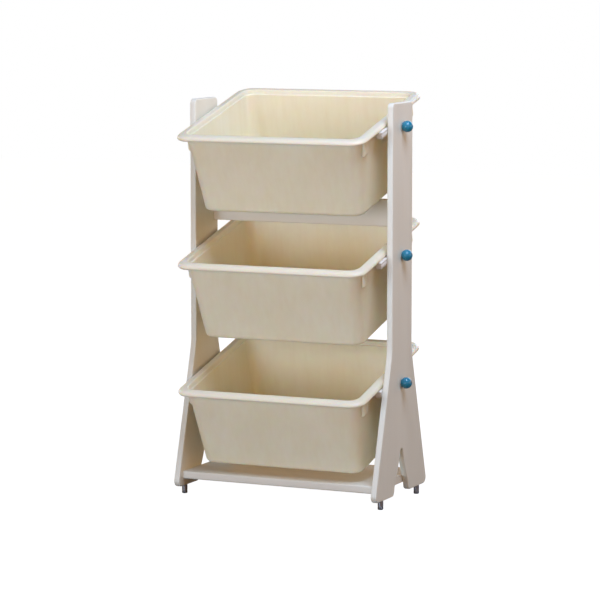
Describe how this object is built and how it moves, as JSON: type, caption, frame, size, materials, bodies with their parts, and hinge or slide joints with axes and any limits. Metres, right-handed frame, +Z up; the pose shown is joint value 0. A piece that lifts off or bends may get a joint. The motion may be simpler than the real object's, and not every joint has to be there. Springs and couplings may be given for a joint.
{
  "type": "toy storage rack with tilting bins",
  "caption": "Free-standing toy rack: A-shaped board sides carry tiers of rimmed plastic bins on tilting rails clamped by blue ball knobs.",
  "frame": {"origin": "middle of the outer box of the whole rack at floor level", "axes": "+X to the right seen from the front, +Y from front to back, +Z up"},
  "size_m": [0.4752, 0.3258, 0.797],
  "materials": {
    "board": "smooth board, matt white-washed grey",
    "dowel_wood": "bare beech",
    "bright_steel": "zinc plated",
    "zinc": "die-cast, satin",
    "glide_steel": "turned, dark",
    "brass": "turned",
    "rail_plastic": "satin",
    "knob_blue": "glossy blue lacquer",
    "bin_ivory": "satin ivory"
  },
  "bodies": {
    "frame": {"side_panel_left": "board", "side_panel_right": "board", "base_shelf": "board", "cross_rail": "board", "shelf_dowels": "dowel_wood", "shelf_cam_bolts": "bright_steel", "shelf_cam_locks": "zinc", "cross_rail_dowels": "dowel_wood", "cross_rail_cam_bolts": "bright_steel", "cross_rail_cam_locks": "zinc", "foot_front_left": "glide_steel", "foot_front_right": "glide_steel", "foot_back_left": "glide_steel", "foot_back_right": "glide_steel"},
    "top_left_rail": {"rail_top_left": "rail_plastic", "insert_top_left": "brass"},
    "top_left_clamp": {"knob_top_left": "knob_blue", "bolt_top_left": "bright_steel"},
    "top_right_rail": {"rail_top_right": "rail_plastic", "insert_top_right": "brass"},
    "top_right_clamp": {"knob_top_right": "knob_blue", "bolt_top_right": "bright_steel"},
    "top_bin": {"bin_top": "bin_ivory"},
    "middle_left_rail": {"rail_middle_left": "rail_plastic", "insert_middle_left": "brass"},
    "middle_left_clamp": {"knob_middle_left": "knob_blue", "bolt_middle_left": "bright_steel"},
    "middle_right_rail": {"rail_middle_right": "rail_plastic", "insert_middle_right": "brass"},
    "middle_right_clamp": {"knob_middle_right": "knob_blue", "bolt_middle_right": "bright_steel"},
    "middle_bin": {"bin_middle": "bin_ivory"},
    "bottom_left_rail": {"rail_bottom_left": "rail_plastic", "insert_bottom_left": "brass"},
    "bottom_left_clamp": {"knob_bottom_left": "knob_blue", "bolt_bottom_left": "bright_steel"},
    "bottom_right_rail": {"rail_bottom_right": "rail_plastic", "insert_bottom_right": "brass"},
    "bottom_right_clamp": {"knob_bottom_right": "knob_blue", "bolt_bottom_right": "bright_steel"},
    "bottom_bin": {"bin_bottom": "bin_ivory"}
  },
  "joints": [
    {"name": "tilt_top_left", "type": "hinge", "parent": "frame", "child": "top_left_rail", "pos_m": [-0.1994, -0.00109, 0.73654], "axis": [1, 0, 0], "range_deg": [-15, 0]},
    {"name": "turn_top_left", "type": "hinge", "parent": "frame", "child": "top_left_clamp", "pos_m": [-0.2267, -0.00109, 0.73654], "axis": [-1, 0, 0], "continuous": true},
    {"name": "tilt_top_right", "type": "hinge", "parent": "frame", "child": "top_right_rail", "pos_m": [0.1994, -0.00109, 0.73654], "axis": [1, 0, 0], "range_deg": [-15, 0]},
    {"name": "turn_top_right", "type": "hinge", "parent": "frame", "child": "top_right_clamp", "pos_m": [0.2267, -0.00109, 0.73654], "axis": [1, 0, 0], "continuous": true},
    {"name": "slide_top", "type": "slide", "parent": "top_left_rail", "child": "top_bin", "axis": [0, -0.9659, -0.2588], "range_m": [0, 0.24]},
    {"name": "tilt_middle_left", "type": "hinge", "parent": "frame", "child": "middle_left_rail", "pos_m": [-0.1994, -0.00109, 0.48626], "axis": [1, 0, 0], "range_deg": [-15, 0]},
    {"name": "turn_middle_left", "type": "hinge", "parent": "frame", "child": "middle_left_clamp", "pos_m": [-0.2267, -0.00109, 0.48626], "axis": [-1, 0, 0], "continuous": true},
    {"name": "tilt_middle_right", "type": "hinge", "parent": "frame", "child": "middle_right_rail", "pos_m": [0.1994, -0.00109, 0.48626], "axis": [1, 0, 0], "range_deg": [-15, 0]},
    {"name": "turn_middle_right", "type": "hinge", "parent": "frame", "child": "middle_right_clamp", "pos_m": [0.2267, -0.00109, 0.48626], "axis": [1, 0, 0], "continuous": true},
    {"name": "slide_middle", "type": "slide", "parent": "middle_left_rail", "child": "middle_bin", "axis": [0, -0.9659, -0.2588], "range_m": [0, 0.24]},
    {"name": "tilt_bottom_left", "type": "hinge", "parent": "frame", "child": "bottom_left_rail", "pos_m": [-0.1994, -0.00109, 0.23598], "axis": [1, 0, 0], "range_deg": [-15, 0]},
    {"name": "turn_bottom_left", "type": "hinge", "parent": "frame", "child": "bottom_left_clamp", "pos_m": [-0.2267, -0.00109, 0.23598], "axis": [-1, 0, 0], "continuous": true},
    {"name": "tilt_bottom_right", "type": "hinge", "parent": "frame", "child": "bottom_right_rail", "pos_m": [0.1994, -0.00109, 0.23598], "axis": [1, 0, 0], "range_deg": [-15, 0]},
    {"name": "turn_bottom_right", "type": "hinge", "parent": "frame", "child": "bottom_right_clamp", "pos_m": [0.2267, -0.00109, 0.23598], "axis": [1, 0, 0], "continuous": true},
    {"name": "slide_bottom", "type": "slide", "parent": "bottom_left_rail", "child": "bottom_bin", "axis": [0, -0.9659, -0.2588], "range_m": [0, 0.24]}
  ],
  "couplings": [
    {"joint": "tilt_top_right", "follows": "tilt_top_left", "ratio": 1},
    {"joint": "tilt_middle_right", "follows": "tilt_middle_left", "ratio": 1},
    {"joint": "tilt_bottom_right", "follows": "tilt_bottom_left", "ratio": 1}
  ]
}
